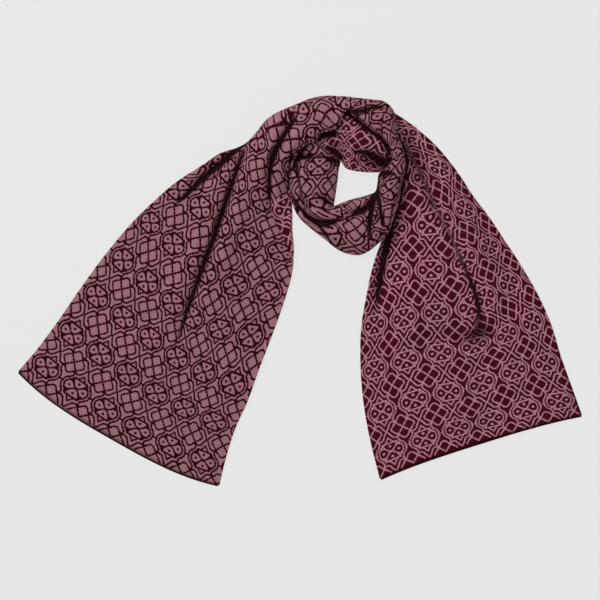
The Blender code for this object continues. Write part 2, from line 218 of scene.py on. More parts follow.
# A section is a straight line between the edges plus an arch: crown * sin(pi s) at a round
# edge and crown * sin(pi s)^2 at a flat one. The hem bows out by bow * (1 - |2t - 1|^3), which
# fades along the first rows. Folds and low waves move the face up or down, least where it is
# steep.
def sectionPoints(piece, places, knots, bowRows=3):
    table = filled(sectionColumns, piece["rows"])
    columns = named(sectionColumns, smoothRows(knots, table, places))
    row = {name: column[:, None] for name, column in columns.items()}
    s = np.linspace(0.0, 1.0, piece["across"] + 1)[None, :]
    mix = s * s * (3 - 2 * s)
    roundness = np.clip(row["leftRound"] * (1 - mix) + row["rightRound"] * mix, 0.0, 1.0)
    t = (1 - roundness) * s + roundness * 0.5 * (1 - np.cos(np.pi * s))
    arch = (1 - roundness) * np.sin(np.pi * s) ** 2 + roundness * np.sin(np.pi * s)
    x = row["leftX"] * (1 - t) + row["rightX"] * t
    y = row["leftY"] * (1 - t) + row["rightY"] * t
    z = row["leftZ"] * (1 - t) + row["rightZ"] * t + row["crown"] * arch
    hem = table[0, 2:4] - table[0, 0:2]
    outward = np.array([hem[1], -hem[0]]) / np.linalg.norm(hem)
    bow = piece.get("hemBow", 0.0)
    fade = np.clip(1 - places / knots[bowRows], 0.0, 1.0)[:, None] ** 2
    swell = bow * (1 - np.abs(2 * t - 1) ** 3) * fade
    points = np.stack([x + outward[0] * swell, y + outward[1] * swell, z], axis=2)
    relief, jump, shade = foldRelief(points[:, :, 0], points[:, :, 1], piece["folds"])
    for height, length, seed in piece.get("waves", ()):
        relief = relief + softWaves(points[:, :, 0], points[:, :, 1], height, length, seed)
    points[:, :, 2] += relief * np.maximum(surfaceNormals(points)[:, :, 2], 0.0)
    return points, jump, shade


selvedge = {
    "curlSteps": 6,
    "flapSteps": 14,
    "radius": 0.7,
    # the flap's pattern changes from straight on to mirrored: share = flap / over - from
    "mirrorOver": 8,
    "mirrorFrom": 0.4,
}


# The strip along the right selvedge curls up through an arc of the radius, and where it has
# turned over it lies back on the cloth, flap long.
def turnSelvedge(points, at, rows):
    radius, curlSteps, flapSteps = (selvedge[k] for k in ("radius", "curlSteps", "flapSteps"))
    value = named(("at", "turn", "flap"), rows)
    turn = np.radians(np.interp(at, value["at"], value["turn"]))
    flap = np.interp(at, value["at"], value["flap"])
    edge = points[:, -1, :]
    outward = unit((edge - points[:, -2, :]) * level)
    inset = np.linalg.norm(points[:, ::-1, 0:2] - edge[:, None, 0:2], axis=2)
    under = points[:, ::-1, 2]
    strip = []
    for i in range(1, curlSteps + flapSteps + 1):
        angle = turn * min(i / curlSteps, 1.0)
        beyond = flap * max(i - curlSteps, 0) / flapSteps
        out = radius * np.sin(angle) + beyond * np.cos(turn)
        point = edge + outward * out[:, None]
        point[:, 2] += radius * (1 - np.cos(angle)) + beyond * np.sin(turn)
        clear = np.array([np.interp(-o, d, z) for o, d, z in zip(out, inset, under)])
        clear += 2 * radius * np.clip(-out, 0.0, 1.0)
        point[:, 2] = np.where(out < 0, np.maximum(point[:, 2], clear), point[:, 2])
        strip.append(point)
    return np.concatenate([points, np.stack(strip, axis=1)], axis=1)


# A smooth map through scattered values: a flat part plus r*r*log(r) round each place
def thinPlate(places, values, targets, stiffness=0.02, batch=20000):
    def kernel(a, b):
        r2 = ((a[:, None, :] - b[None, :, :]) ** 2).sum(axis=2)
        return 0.5 * r2 * np.log(r2 + 1e-12)
    n = len(places)
    flat = np.hstack([np.ones((n, 1)), places])
    system = np.zeros((n + 3, n + 3))
    system[:n, :n] = kernel(places, places) + stiffness * np.eye(n)
    system[:n, n:] = flat
    system[n:, :n] = flat.T
    weights = np.linalg.solve(system, np.vstack([values, np.zeros((3, values.shape[1]))]))
    result = np.empty((len(targets), values.shape[1]))
    for i in range(0, len(targets), batch):
        some = targets[i:i + batch]
        result[i:i + batch] = kernel(some, places) @ weights[:n]
        result[i:i + batch] += np.hstack([np.ones((len(some), 1)), some]) @ weights[n:]
    return result


# Where the pattern lies: distances along the face across and along the cloth, bent so that
# the repeats fall where the piece's places say, plus the jumps at the creases
def patternPlaces(piece, points, jump, plateUnit=100.0, within=1.5, farCost=2):
    across = acrossRun(points)
    middle = points.shape[1] // 2
    across = across - across[:, middle:middle + 1]
    along = lineRun(points[:, middle])[:, None] * np.ones_like(across)
    flat = np.stack([across.ravel(), along.ravel()], axis=1) / plateUnit
    jumps = jump.ravel() / cloth["repeatAcross"]
    known = named(("across", "along", "pixelX", "pixelY"), piece["patternAt"])
    x, y = fromPhoto(known["pixelX"], known["pixelY"])
    plan = points[:, :, 0:2].reshape(-1, 2)
    height = points[:, :, 2].ravel()
    nearest = []
    # a high point of those that lie about as near as the nearest one
    for px, py in zip(x, y):
        far = np.hypot(plan[:, 0] - px, plan[:, 1] - py)
        close = np.flatnonzero(far < far.min() + within)
        nearest.append(close[np.argmax(height[close] - farCost * far[close])])
    wanted = np.stack([known["across"] - jumps[nearest], known["along"]], axis=1)
    uv = thinPlate(flat[nearest], wanted, flat)
    uv[:, 0] += jumps
    return uv.reshape(points.shape[0], points.shape[1], 2)


# A closed shell from the face: the face, a half round down each selvedge, the back, and a
# half round at both ends. Face and back carry the two sides of the knit.
def clothShell(name, shape, frontKnit, backKnit, restsAt=None):
    points, uv, shade = shape
    # the back follows a slightly smoothed face
    smooth = points.copy()
    for i in range(2):
        smooth[1:-1] = 0.25 * smooth[:-2] + 0.5 * smooth[1:-1] + 0.25 * smooth[2:]
        smooth[:, 1:-1] = 0.25 * smooth[:, :-2] + 0.5 * smooth[:, 1:-1] + 0.25 * smooth[:, 2:]
    normal = surfaceNormals(smooth)
    back = points - normal * cloth["thickness"]
    if restsAt is not None:
        back[:, :, 2] = np.maximum(back[:, :, 2], restsAt)
    steps = cloth["edgeSteps"]

    def halfRound(front, behind, outward):
        centre = 0.5 * (front + behind)
        arm = 0.5 * (front - behind)
        out = unit(outward) * np.linalg.norm(arm, axis=-1, keepdims=True)
        angles = np.linspace(0, np.pi, steps + 2)[1:-1]
        return [centre + arm * np.cos(a) + out * np.sin(a) for a in angles]

    right = halfRound(points[:, -1], back[:, -1], points[:, -1] - points[:, -2])
    left = halfRound(back[:, 0], points[:, 0], points[:, 0] - points[:, 1])
    ring = np.concatenate([points, np.stack(right, 1), back[:, ::-1], np.stack(left, 1)], axis=1)
    edgeUv = np.repeat(uv[:, -1:], steps, axis=1)
    otherUv = np.repeat(uv[:, :1], steps, axis=1)
    ringUv = np.concatenate([uv, edgeUv, uv[:, ::-1], otherUv], axis=1)
    rows, width = ring.shape[:2]
    count = points.shape[1]
    index = np.arange(rows * width).reshape(rows, width)
    slots = np.zeros((rows - 1, width), int)
    half = steps // 2
    slots[:, count + half:count + steps + count] = 1
    slots[:, 2 * count + steps:2 * count + steps + half] = 1

    # the ends: rows of half rounds between the face's and the back's last points
    verts = [ring.reshape(-1, 3)]
    uvs = [ringUv.reshape(-1, 2)]
    faces = [gridFaces(np.pad(index, ((0, 0), (0, 1)), mode="wrap"))]
    tags = [slots.ravel()]
    base = rows * width
    for end, inner in ((0, 1), (rows - 1, rows - 2)):
        rounds = halfRound(points[end], back[end], points[end] - points[inner])
        verts.append(np.concatenate(rounds))
        uvs.append(np.repeat(uv[end][None], steps, axis=0).reshape(-1, 2))
        own = base + np.arange(steps * count).reshape(steps, count)
        backRow = index[end, count + steps:2 * count + steps][::-1]
        grid = np.vstack([index[end, :count], own, backRow])
        cap = gridFaces(grid)
        capTags = np.zeros((steps + 1, count - 1), int)
        capTags[half + 1:] = 1
        faces.append(cap[:, ::-1] if end == 0 else cap)
        tags.append(capTags.ravel())
        # close the two small corners with the selvedges' own half rounds
        rightRim = index[end, count:count + steps]
        leftRim = index[end, 2 * count + steps:][::-1]
        for rim, a, flip in ((rightRim, grid[:, -1], end == 0), (leftRim, grid[:, 0], end != 0)):
            b = np.concatenate([a[:1], rim, a[-1:]])
            corner = np.stack([a[:-1], b[:-1], b[1:], a[1:]], axis=1)
            faces.append(corner[:, ::-1] if flip else corner)
            tags.append(np.zeros(len(corner), int))
        base += steps * count

    verts = np.vstack(verts) * millimetre
    # the painted shade of the folds and hems, on the face's points only
    paintedShade = np.zeros(len(verts))
    paintedShade[index[:, :count].ravel()] = shade.ravel()
    return meshPiece(name, verts, np.vstack(faces).tolist(), np.vstack(uvs),
                     np.concatenate(tags), (frontKnit, backKnit), paintedShade)


# Puts points, faces, pattern places and material numbers into a mesh piece. A face loses the
# corners that it has twice in a row.
def meshPiece(name, verts, faces, uvs, tags, materials, paintedShade=None):
    mesh = bpy.data.meshes.new(name)
    polys = [[v for i, v in enumerate(face) if v != face[i - 1]] for face in faces]
    mesh.from_pydata(verts.tolist(), [], polys)
    layer = mesh.uv_layers.new(name="pattern")
    corners = np.empty(len(mesh.loops), int)
    mesh.loops.foreach_get("vertex_index", corners)
    # a crease may swallow whole repeats inside one face: they are left out of it
    starts = np.empty(len(mesh.polygons), int)
    totals = np.empty(len(mesh.polygons), int)
    mesh.polygons.foreach_get("loop_start", starts)
    mesh.polygons.foreach_get("loop_total", totals)
    cornerUv = uvs[corners]
    firstUv = np.repeat(cornerUv[starts], totals, axis=0)
    cornerUv = cornerUv - np.round(cornerUv - firstUv)
    layer.data.foreach_set("uv", cornerUv.astype(np.float32).ravel())
    mesh.polygons.foreach_set("material_index", tags.astype(np.int32))
    # the painted shade, which the material mixes into the colour
    if paintedShade is not None:
        mesh.attributes.new("creaseShade", "FLOAT", "POINT").data.foreach_set("value", paintedShade)
    for material in materials:
        mesh.materials.append(material)
    mesh.shade_smooth()
    mesh.update()
    piece = bpy.data.objects.new(name, mesh)
    bpy.context.scene.collection.objects.link(piece)
    return piece


# Works out a piece's face, its selvedge, and where its pattern lies
def shapeCloth(piece):
    table = filled(sectionColumns, piece["rows"])
    knots = rowDistances(table)
    first, last = piece.get("drawnRows", (0, len(table) - 1))
    places = np.linspace(knots[first], knots[last], piece["along"] + 1)
    step = places[1] - places[0]
    wider = np.concatenate([[places[0] - step], places, [places[-1] + step]])
    points, jump, shade = [part[1:-1] for part in sectionPoints(piece, wider, knots)]
    at = np.interp(places, knots, np.arange(len(knots)))
    if "restRows" in piece:
        lift = np.clip((at - piece["restRows"]) / cloth["liftRows"], 0.0, 1.0)[:, None]
        rested = cloth["thickness"] + keepAbove(points[:, :, 2])
        points[:, :, 2] = rested * (1 - lift) + points[:, :, 2] * lift
    uv = patternPlaces(piece, points, jump)
    # painted shade near the hem, added to the folds' painted shade
    if "hemBow" in piece:
        fromHem = (places - knots[0]) / cloth["hemShadeLength"]
        hemShade = cloth["hemShade"] * np.exp(-fromHem ** 2)
        shade = np.clip(shade + hemShade[:, None], 0.0, 1.0)
    if "selvedge" in piece:
        face = points
        points = turnSelvedge(face, at, piece["selvedge"])
        uv = np.concatenate([uv, stripPattern(piece, face, points, uv, at)], axis=1)
        shade = np.pad(shade, ((0, 0), (0, points.shape[1] - shade.shape[1])))
    return points, uv, shade


# The pattern on the selvedge's strip. Where the strip stands up, it goes straight on from
# the face. Where it lies back on the cloth, it is the cloth's own pattern seen in a mirror:
# distances along the two mirrored directions from one known place.
def stripPattern(piece, face, points, uv, at):
    strip = points[:, face.shape[1]:]
    run = acrossRun(np.concatenate([face[:, -1:], strip], axis=1))[:, 1:]
    straight = uv[:, -1:] + run[:, :, None] / cloth["repeatAcross"] * np.array([1.0, 0.0])
    u, v, pixelX, pixelY = piece["flapAt"]
    knownX, knownY = fromPhoto(pixelX, pixelY)
    x = strip[:, :, 0] - knownX
    y = strip[:, :, 1] - knownY
    across = piece["flapAcross"]
    lying = np.stack([u + (x * across[0] + y * across[1]) / cloth["repeatAcross"],
                      v + (x * across[1] - y * across[0]) / cloth["repeatAlong"]], axis=2)
    table = named(("at", "turn", "flap"), piece["selvedge"])
    flap = np.interp(at, table["at"], table["flap"])
    share = np.clip(flap / selvedge["mirrorOver"] - selvedge["mirrorFrom"], 0.0, 1.0)
    grow = np.clip(np.arange(1, strip.shape[1] + 1) / selvedge["curlSteps"], 0.0, 1.0)
    blend = (share[:, None] * grow[None, :])[:, :, None]
    return straight * (1 - blend) + lying * blend


# One quarter of the pattern's repeat in stitches, from the middle of the four-lozenge cluster
# to the middle of the rose, mirrored across and along. It is drawn as strokes and round dots,
# and a stitch takes the lines' yarn where its middle is within a stroke's half width in mm.
motif = {
    "strokes": (
        ((0, 0), (7, 9.2)),
        ((14, 0), (13.2, 2), (10.4, 5.6), (7, 9.2), (4.8, 12.8), (2.2, 16.2), (0, 17.3)),
        ((7, 9.2), (8.8, 11.4), (11.2, 12.2), (14, 10.6), (16.4, 6), (18.4, 2), (20, 0)),
        ((7, 9.2), (8, 12.4), (8.5, 15.4), (7.9, 18), (6, 20.4), (4, 22.8), (2.7, 26), (2.2, 30),
         (0, 30)),
        ((20, 9.6), (15.2, 17)),
        ((11.8, 17.1), (20, 17.1)),
        ((20, 30), (16.9, 28), (14.7, 25.2), (13.3, 22.6), (12.3, 20.2), (11.8, 17.1)),
        ((11.8, 17.1), (10.8, 19.8), (9, 22), (7.1, 24.4), (6, 27.2), (5.7, 30)),
        ((8, 23.5), (11, 22.8), (13.9, 24.2)),
    ),
    # middle and radius in mm
    "dots": ((11.2, 30, 1.9), (20, 22.2, 2.1)),
}


# The quarter's rows as numbers, one bit for each stitch across
def chartNumbers(motif, halfWidth):
    size = np.array([cloth["repeatAcross"] / cloth["stitchesAcross"],
                     cloth["repeatAlong"] / cloth["stitchesAlong"]])
    wide = cloth["stitchesAcross"] // 2 + 1
    high = cloth["stitchesAlong"] // 2 + 1
    x, y = np.meshgrid(np.arange(wide) * size[0], np.arange(high) * size[1])
    line = np.zeros(x.shape, bool)
    for stroke in motif["strokes"]:
        line |= lineDistance(x, y, np.array(stroke, float) * size)[0] < halfWidth
    for across, along, radius in motif["dots"]:
        line |= np.hypot(x - across * size[0], y - along * size[1]) < radius
    return (line * 2.0 ** np.arange(wide)[::-1]).sum(axis=1) / 2.0 ** wide, wide


knit = {
    "slant": 0.9,
    # painted shade between the stitches' legs: the share of the colour left in the gaps
    "shadeBetweenStitches": 0.62,
    "yarnVariation": 0.3,
    "driftScale": 2.3,
    "driftVariation": 0.3,
    "fibreScale": 160.0,
    "fibreVariation": 0.5,
    "fibreHeight": 0.35,
    # painted shade in creases, under edges and by hems: how far it darkens the colour, and its dark
    # tone
    "creaseShade": 0.97,
    "paintedShadeTone": (0.010, 0.001, 0.002),
    "sheenTint": (0.75, 0.25, 0.33),
    "stitchHeight": 0.0003,
    "bumpStrength": 0.75,
    "roughness": 0.88,
    "sheen": 0.02,
    "specular": 0.03,
}


# Short ways to build a new material's nodes
class Nodes:
    def __init__(self, name):
        self.material = bpy.data.materials.new(name)
        self.material.use_nodes = True
        self.tree = self.material.node_tree
        self.shader = self.tree.nodes["Principled BSDF"]

    def add(self, kind, **settings):
        node = self.tree.nodes.new(kind)
        for key, value in settings.items():
            setattr(node, key, value)
        return node

    def link(self, value, socket):
        if isinstance(value, (int, float, tuple)):
            socket.default_value = value
        else:
            self.tree.links.new(value, socket)

    def pattern(self):
        return self.add("ShaderNodeUVMap", uv_map="pattern").outputs["UV"]

    def fill(self, node, values):
        for key, value in values.items():
            node.inputs[key].default_value = value

    def math(self, operation, *values):
        node = self.add("ShaderNodeMath", operation=operation)
        for value, socket in zip(values, node.inputs):
            self.link(value, socket)
        return node.outputs[0]

    def mix(self, factor, first, second):
        node = self.add("ShaderNodeMix", data_type="RGBA")
        for value, name in ((factor, "Factor"), (first, "A"), (second, "B")):
            self.link(value, node.inputs[name])
        return node.outputs["Result"]

    def scaled(self, colour, factor):
        node = self.add("ShaderNodeVectorMath", operation="SCALE")
        self.link(colour, node.inputs[0])
        self.link(factor, node.inputs["Scale"])
        return node.outputs[0]

    # a * b + c
    def sum(self, a, b, c):
        return self.math("MULTIPLY_ADD", a, b, c)

    def minus(self, a, b):
        return self.math("SUBTRACT", a, b)

    def times(self, a, b):
        return self.math("MULTIPLY", a, b)

    def noise(self, scale, detail):
        node = self.add("ShaderNodeTexNoise")
        self.fill(node, {"Scale": scale, "Detail": detail})
        self.link(self.pattern(), node.inputs["Vector"])
        return node.outputs["Fac"]

    # 1 on average, more or less by the amount as the value runs from 0 to 1
    def vary(self, value, amount):
        return self.sum(self.minus(value, 0.5), amount, 1.0)

    def bump(self, height, strength, distance):
        node = self.add("ShaderNodeBump")
        self.fill(node, {"Strength": strength, "Distance": distance})
        self.link(height, node.inputs["Height"])
        self.link(node.outputs[0], self.shader.inputs["Normal"])


# The knit as nodes. Each stitch is a V: its two legs lean to its middle, so the rows are
# read with a slant. The chart's rows are numbers in a stepped colour ramp, and a stitch's
# bit of its row says which yarn is on the face.
def knitMaterial(name, side):
    n = Nodes(name)
    split = n.add("ShaderNodeSeparateXYZ")
    n.link(n.pattern(), split.inputs[0])
    # a chart's stitch 0 has its middle on the repeat's edge
    across = n.sum(split.outputs[0], float(cloth["stitchesAcross"]), 0.5)
    alongFlat = n.sum(split.outputs[1], float(cloth["stitchesAlong"]), 0.5)
    fromMiddle = n.math("ABSOLUTE", n.minus(n.math("FRACT", across), 0.5))
    along = n.sum(n.minus(fromMiddle, 0.25), knit["slant"], alongFlat)
    numbers, wide = chartNumbers(motif, side["lineHalfWidth"])
    rows = len(numbers)

    def folded(number, whole):
        half = whole / 2
        inRepeat = n.math("FLOORED_MODULO", n.math("FLOOR", number), float(whole))
        return n.minus(half, n.math("ABSOLUTE", n.minus(half, inRepeat)))

    ramp = n.add("ShaderNodeValToRGB")
    ramp.color_ramp.interpolation = "CONSTANT"
    elements = ramp.color_ramp.elements
    for i, number in enumerate(numbers):
        if i > 1:
            elements.new(i / rows)
        elements[i].position = i / rows
        elements[i].color = (number, number, number, 1.0)
    quarterRow = folded(along, cloth["stitchesAlong"])
    n.link(n.math("DIVIDE", n.math("ADD", quarterRow, 0.5), float(rows)), ramp.inputs[0])
    red = n.add("ShaderNodeSeparateColor")
    n.link(ramp.outputs[0], red.inputs[0])
    code = n.sum(red.outputs[0], 2.0 ** wide, 0.25)
    quarterColumn = folded(across, cloth["stitchesAcross"])
    weight = n.math("POWER", 2.0, n.minus(float(wide - 1), quarterColumn))
    bit = n.math("FLOORED_MODULO", n.math("FLOOR", n.math("DIVIDE", code, weight)), 2.0)
    # the first rows at a hem, before the first repeat, are plain
    inPattern = n.math("GREATER_THAN", alongFlat, 0.0)
    isLine = n.times(n.math("GREATER_THAN", bit, 0.5), inPattern)

    # the rounded legs of the stitch, higher in the middle of the yarn
    legAlong = n.sum(n.math("FRACT", along), 2.0, -1.0)
    legAcross = n.sum(n.math("FRACT", n.times(across, 2.0)), 2.0, -1.0)
    roundAlong = n.minus(1.0, n.times(legAlong, legAlong))
    roundAcross = n.minus(1.0, n.times(legAcross, legAcross))
    stitch = n.math("POWER", n.times(roundAlong, roundAcross), 0.5)

    # uneven yarn: a random tone for each stitch and slow drifts along the cloth, times painted
    # shade between the stitches' legs
    cell = n.add("ShaderNodeCombineXYZ")
    n.link(n.math("FLOOR", across), cell.inputs[0])
    n.link(n.math("FLOOR", along), cell.inputs[1])
    grain = n.add("ShaderNodeTexWhiteNoise", noise_dimensions="2D")
    n.link(cell.outputs[0], grain.inputs["Vector"])
    fibre = n.noise(knit["fibreScale"], 3.0)
    low = knit["shadeBetweenStitches"]
    tone = n.vary(grain.outputs["Value"], knit["yarnVariation"])
    for factor in (n.vary(n.noise(knit["driftScale"], 4.0), knit["driftVariation"]),
                   n.vary(fibre, knit["fibreVariation"]), n.sum(stitch, 1.0 - low, low)):
        tone = n.times(tone, factor)

    colour = n.mix(isLine, (*side["ground"], 1.0), (*side["line"], 1.0))
    # painted shade: the creaseShade attribute mixes the colour toward a dark tone, in creases,
    # under edges and by hems
    crease = n.add("ShaderNodeAttribute", attribute_name="creaseShade").outputs["Fac"]
    colourWithPaintedShade = n.mix(n.times(crease, knit["creaseShade"]), n.scaled(colour, tone),
                   (*knit["paintedShadeTone"], 1.0))
    n.link(colourWithPaintedShade, n.shader.inputs["Base Color"])

    height = n.sum(fibre, knit["fibreHeight"], stitch)
    n.bump(height, knit["bumpStrength"], knit["stitchHeight"])
    n.fill(n.shader, {"Roughness": knit["roughness"], "Sheen Weight": knit["sheen"],
                      "Sheen Roughness": 0.5, "Sheen Tint": (*knit["sheenTint"], 1.0),
                      "Specular IOR Level": knit["specular"]})
    return n.material


pinkSide = knitMaterial("pinkGroundKnit", {
    "ground": (0.425, 0.198, 0.236),
    "line": (0.040, 0.0015, 0.006),
    "lineHalfWidth": 1.34,
})
burgundySide = knitMaterial("burgundyGroundKnit", {
    "ground": (0.080, 0.0055, 0.0165),
    "line": (0.62, 0.28, 0.342),
    "lineHalfWidth": 0.94,
})
report("knit materials made")

castOff = {
    "yarn": (0.016, 0.0008, 0.003),
    "fibreScale": 90.0,
    "toneRange": 0.9,
    "toneLow": 0.55,
    "bumpStrength": 0.5,
    "bumpHeight": 0.0002,
    "roughness": 0.9,
    "radius": 1.55,
    "swell": 0.22,
    "slant": 0.8,
    "stitchLength": 2.1,
    "step": 0.5,
    "sides": 8,
    # how far the cord narrows at its ends, and how far it stands out from the hem
    "taper": 1.2,
    "reach": 1.1,
}


# The cast-off edge: burgundy yarn with a slow change of tone along it
def castOffMaterial(name):
    n = Nodes(name)
    fibre = n.noise(castOff["fibreScale"], 4.0)
    tone = n.sum(fibre, castOff["toneRange"], castOff["toneLow"])
    n.link(n.scaled(castOff["yarn"], tone), n.shader.inputs["Base Color"])
    n.bump(fibre, castOff["bumpStrength"], castOff["bumpHeight"])
    n.fill(n.shader, {"Roughness": castOff["roughness"],
                      "Specular IOR Level": knit["specular"]})
    return n.material


castOffYarn = castOffMaterial("castOffYarn")


# A cast-off edge: a thin round cord along the hem, whose radius swells once a stitch by a
# cosine that slants round it
def castOffEdge(name, line):
    run = lineRun(line)
    places = np.linspace(0, run[-1], int(run[-1] / castOff["step"]) + 1)
    path = np.stack([np.interp(places, run, line[:, k]) for k in range(3)], axis=1)
    ahead = unit(np.gradient(path, axis=0))
    side = unit(np.cross(ahead, (0.0, 0.0, 1.0)))
    over = np.cross(side, ahead)
    around = np.linspace(0, 2 * np.pi, castOff["sides"] + 1)[:-1]
    wave = 2 * np.pi * places[:, None] / castOff["stitchLength"]
    slanting = wave + castOff["slant"] * np.sin(around)[None, :]
    radius = castOff["radius"] + castOff["swell"] * np.cos(slanting)
    ends = np.minimum(places, places[-1] - places)[:, None]
    radius = radius * np.clip(ends / castOff["taper"], 0.05, 1.0) ** 0.5
    ring = (path[:, None] + side[:, None] * (radius * np.cos(around))[:, :, None]
            + over[:, None] * (radius * np.sin(around))[:, :, None])
    rows, width = ring.shape[:2]
    index = np.arange(rows * width).reshape(rows, width)
    quads = gridFaces(np.pad(index, ((0, 0), (0, 1)), mode="wrap"))[:, [0, 3, 2, 1]]
    uv = np.stack([np.broadcast_to(around / 20, (rows, width)),
                   np.broadcast_to(places[:, None] / 50, (rows, width))], axis=2)
    faces = quads.tolist() + [index[0].tolist(), index[-1][::-1].tolist()]
    return meshPiece(name, ring.reshape(-1, 3) * millimetre, faces, uv.reshape(-1, 2),
                     np.zeros(len(faces), int), (castOffYarn,))


leftHalf = {
    "along": 290,
    "across": 128,
    "hemBow": 16.0,
    "restRows": 14.5,
    "rows": (
        (-386, -111, -114, -266), (-362, -83, -107, -236), (-335, -47, -94, -193),
        (-301, 2.5, -75, -150, 0, 0, 1), (-264.5, 52, -58, -103, 0, 0, 2),
        (-227, 96, -41, -59, 0, 0, 3), (-196, 126, -26, -17, 0, 0, 5, 0.1),
        (-165, 152, -14, 26, 0, 0, 7, 0.3), (-133, 173, -11, 58, 1, 0, 10, 0.6),
        (-107, 190, -13, 86, 2, 0, 13, 0.8), (-88, 196, -13, 110, 4, 1, 15, 0.9),
        (-73, 204, -14.5, 134, 5, 2, 17, 1, 0.1), (-59, 219, -14, 156, 6, 4, 19, 1, 0.5),
        (-48, 233, -12, 177, 7, 11, 19, 1, 0.9), (-35, 243, -4, 193, 8, 20, 17, 1, 1),
        (-18, 251, 7, 203, 8, 22, 17, 1, 1), (-1, 258, 20, 209, 9, 24, 16, 1, 1),
        (17, 265, 29, 219, 9, 25, 15, 1, 1), (35, 268, 40, 221, 9, 26, 12, 1, 1),
        (47, 268, 50, 223, 9, 25, 10, 1, 1), (53, 267.5, 55, 233, 9, 25, 9, 1, 0.9),
        (58, 267.3, 59, 243, 9.3, 25, 8, 1, 0.8), (64, 267, 64, 249, 9.7, 25, 8, 1, 0.7),
        (79, 265, 73, 241, 11, 30, 8, 1, 0.6),
    ),
    "drawnRows": (0, 22),
    # each fold's points: x, y, height, width of its left and right flank, swallow, painted shade
    "folds": (
        ((-72, 216, 0, 6, 6, 42, 0.6), (-77, 202, -1, 6, 6, 42, 1), (-88, 194, -3, 7, 6, 40, 1.4),
         (-104, 179, -8, 8, 7, 32, 1.4), (-127, 160, -8, 8, 7, 20, 1.4),
         (-148, 140, -6, 7, 7, 10, 1.2), (-163, 126, -3, 6, 6, 4, 0.8), (-176, 114, 0, 5, 4)),
        ridge(8, 5, (-98, 196, 2), (-135, 167, 4), (-172, 131, 1)),
        ((-78, 190, -5, 6, 4, 78, 0.8), (-94, 145, -9, 6, 5, 64, 1.3),
         (-119, 72, -10, 7, 5, 48, 1.4), (-140, 16, -9, 7, 5, 30, 1.4),
         (-160, -42, -5, 6, 5, 10, 1), (-172, -82, 0, 6, 4)),
        ridge(12, 18, (-60, 180, 5), (-99, 66, 8), (-148, -70, 0)),
        ridge(18, 12, (-102, 170, 4), (-138, 78, 6), (-190, -60, 0)),
        ((-6, 246, 0, 5, 5, 0, 0.2), (-9.5, 233, -5, 6, 6, 16, 0.9), (-17.5, 220, -9, 7, 7, 28, 1),
         (-26, 205, -11, 8, 8, 30, 1), (-33, 192, -12, 8, 8, 28, 1), (-38.5, 177, -10, 6, 7, 22, 1),
         (-41, 163, -8, 5, 6, 16, 1), (-41, 139, -6, 5, 7, 8, 1), (-42.5, 116, -1, 5, 5, 0, 0.1)),
        # painted shadow where the loop's edge lies over the tail
        shadow(6, 6, (-11, 184, 1), (-13, 160, 0.8), (-14, 142, 0.9), (-13.5, 127, 0.6)),
        ridge(10, 8, (-22, 216, 2), (-48, 180, 4), (-58, 120, 2)),
        ridge(24, 24, (-120, 40, 2), (-95, -20, 4), (-70, -80, 0)),
        ridge(34, 34, (-250, -20, 1), (-215, -80, 3), (-190, -150, 0)),
        ridge(26, 26, (-300, -60, 0), (-280, -100, 2), (-255, -140, 0)),
    ),
    "waves": ((0.5, 70, 3), (0.22, 24, 5)),
    "selvedge": (
        (0, 24, 2), (6, 24, 2), (7.4, 60, 2), (7.8, 178, 2), (8.1, 180, 11), (8.4, 180, 26),
        (8.8, 180, 38), (9.2, 180, 37), (10, 180, 24), (10.8, 176, 5), (11.2, 100, 2), (12, 30, 2),
        (14, 24, 2), (20, 10, 1),
    ),
    # the repeats' numbers across and along the cloth, and where they lie in the view
    "patternAt": (
        (0, 0, 18, 372), (1, 0.17, 52.3, 388.6), (2, 0.17, 84.3, 410.3), (3, 0.17, 115, 431),
        (4, 0.17, 149.7, 449.8), (5, 0.17, 184, 466.6), (6, 0, 217, 486), (0, 1, 47, 341),
        (1, 1, 74.3, 362.6), (3, 1, 131.5, 402.5), (5, 1, 191.8, 432.8), (6, 1, 223, 446),
        (0, 2, 71.5, 303.5), (2, 2, 125.6, 345.8), (4, 2, 179.7, 384.3), (6, 2, 238, 411),
        (1, 3, 121.6, 289.5), (3, 3, 174.8, 331.4), (5, 3, 226.8, 355), (0, 4, 125, 229),
        (2, 4, 172.6, 274.4), (4, 4, 212.7, 303.4), (6, 4, 277, 315), (1, 5, 174.6, 216.4),
        (2, 5, 199.7, 237.6), (4, 5, 228.2, 257.9), (5, 5, 256.9, 267.3), (1.5, 5.5, 200.9, 208.1),
        (4, 6, 240.7, 212.8), (5, 6, 270.2, 228.2), (1.5, 6.5, 229.9, 171.3), (4, 7, 256.4, 169.9),
        (4, 8, 274.6, 126.5), (5, 8, 290.5, 141), (4.5, 8.5, 297.8, 113.8), (5, 9, 325, 114),
        (4.7, 9.46, 343.5, 105),
    ),
    # the mirrored direction across the cloth where its selvedge lies back on it, and one
    # place of the pattern there
    "flapAcross": (-0.886, -0.463),
    "flapAt": (5.5, 6.633, 283, 202),
}

leftShape = shapeCloth(leftHalf)
leftPiece = clothShell("leftTailAndTopBand", leftShape, pinkSide, burgundySide, 0.0)
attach(leftPiece, "root")
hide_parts("left_tail", "top_band")
report("left half made")

